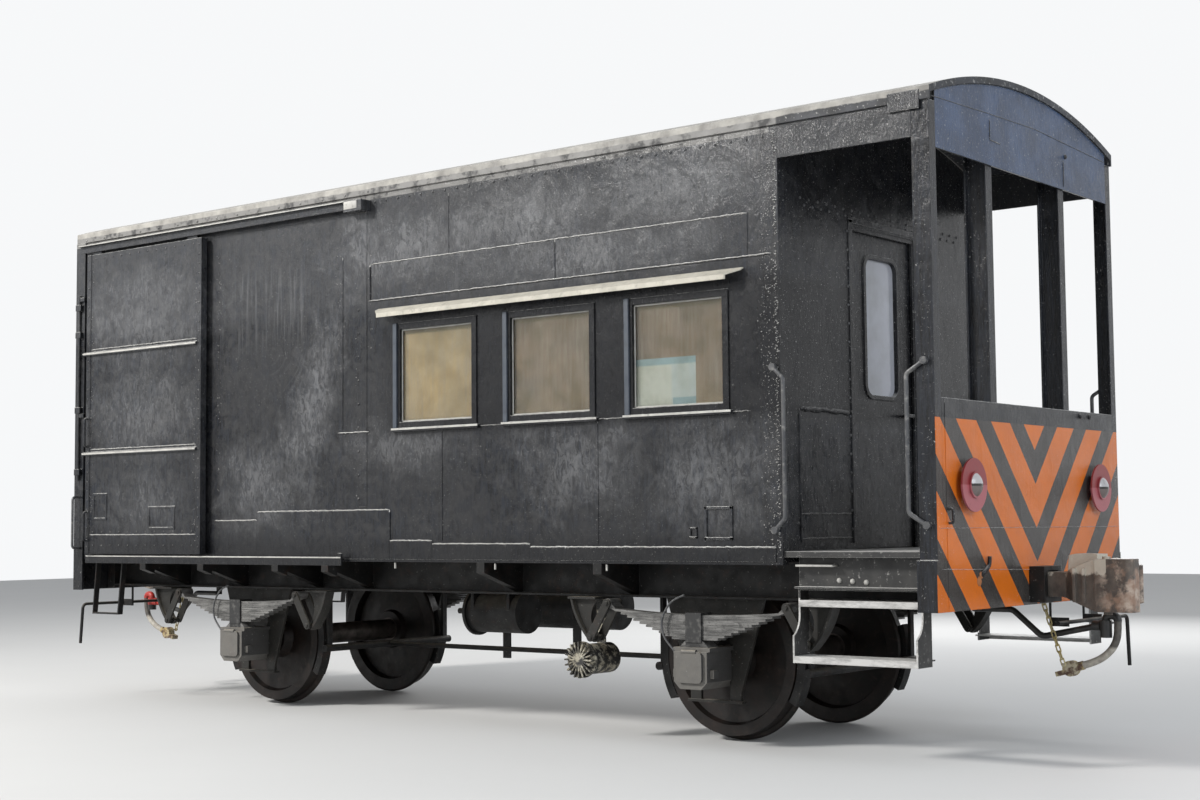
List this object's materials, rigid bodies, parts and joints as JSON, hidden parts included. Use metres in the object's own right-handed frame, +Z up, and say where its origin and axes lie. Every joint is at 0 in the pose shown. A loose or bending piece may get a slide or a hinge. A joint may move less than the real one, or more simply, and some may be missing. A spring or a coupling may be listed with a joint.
{
  "type": "caboose",
  "caption": "Two-axle railway caboose with a luggage room, a windowed guard's cabin and an open end platform behind a striped end panel; wheels roll and doors move.",
  "frame": {"origin": "midway between the axles and the sides, on the tips of the wheel flanges", "axes": "+X along the rails to the platform end, +Y to the far side, +Z up"},
  "size_m": [8.12, 2.462, 3.5676],
  "materials": {
    "wheel_steel": "rusty brown tread, dark web",
    "axle_steel": "dull dark steel",
    "grey_paint": "dusty dark grey paint",
    "gear_black": "dusty black paint",
    "spring_steel": "dusty black paint on leaves",
    "floor_boards": "worn boards",
    "deck_grey": "worn grey steel treads",
    "black_paint": "glossy brush-marked black paint",
    "inside_paint": "pale green-grey paint",
    "roof_grey": "weathered grey roof paint",
    "window_glass": "dusty clear glass",
    "brown_boards": "ochre boards behind the glass",
    "cream_paint": "weathered cream paint",
    "stripe_paint": "orange chevrons on dark grey",
    "red_paint": "faded dark red paint",
    "lens_glass": "grey domed lens",
    "coupler_steel": "rusty cast steel with daubed cream paint",
    "hose_rubber": "dusty rubber, light grey lower half",
    "cast_fitting": "pale daubed cast iron"
  },
  "bodies": {
    "root": {"axle_boxes": "grey_paint", "axle_guards": "gear_black", "leaf_springs": "spring_steel", "spring_brackets": "gear_black", "spring_shackles": "gear_black", "underframe": "gear_black", "cabin_floor": "floor_boards", "platform_deck": "deck_grey", "platform_steps": "deck_grey", "near_side_wall": "black_paint", "far_side_wall": "black_paint", "cabin_end_wall": "black_paint", "luggage_end_wall": "black_paint", "partition": "inside_paint", "roof": "roof_grey", "corner_posts": "black_paint", "door_tracks": "black_paint", "window_frames": "black_paint", "window_glass": "window_glass", "window_boards": "brown_boards", "awnings": "cream_paint", "end_door_hinges": "gear_black", "platform_posts": "black_paint", "end_panel": "stripe_paint", "platform_fascias": "black_paint", "marker_discs": "red_paint", "marker_lenses": "lens_glass", "handrails": "black_paint", "stirrups": "gear_black", "couplers": "coupler_steel", "knuckles": "coupler_steel", "coupler_pockets": "gear_black", "uncoupling_levers": "gear_black", "brake_pipes": "gear_black", "brake_hose_a": "hose_rubber", "brake_hose_b": "hose_rubber", "hose_couplings": "cast_fitting", "hose_chains": "cast_fitting", "brake_gear": "gear_black", "brake_cylinder": "gear_black", "air_reservoir": "gear_black", "finned_drum": "cast_fitting"},
    "wheelset_a": {"wheels_a": "wheel_steel", "axle_a": "axle_steel"},
    "wheelset_b": {"wheels_b": "wheel_steel", "axle_b": "axle_steel"},
    "near_door": {"near_sliding_door": "black_paint", "near_sliding_door_rollers": "gear_black"},
    "far_door": {"far_sliding_door": "black_paint", "far_sliding_door_rollers": "gear_black"},
    "end_door": {"end_door": "black_paint", "end_door_glass": "window_glass"}
  },
  "joints": [
    {"name": "wheelset_a_spin", "type": "hinge", "parent": "root", "child": "wheelset_a", "pos_m": [-1.905, 0, 0.458], "axis": [0, 1, 0], "continuous": true},
    {"name": "wheelset_b_spin", "type": "hinge", "parent": "root", "child": "wheelset_b", "pos_m": [1.905, 0, 0.458], "axis": [0, 1, 0], "continuous": true},
    {"name": "near_door_slide", "type": "slide", "parent": "root", "child": "near_door", "axis": [1, 0, 0], "range_m": [0, 1.26]},
    {"name": "far_door_slide", "type": "slide", "parent": "root", "child": "far_door", "axis": [1, 0, 0], "range_m": [0, 1.26]},
    {"name": "end_door_swing", "type": "hinge", "parent": "root", "child": "end_door", "pos_m": [2.506, -0.36, 1.1], "axis": [0, 0, 1], "range_deg": [0, 90]}
  ]
}
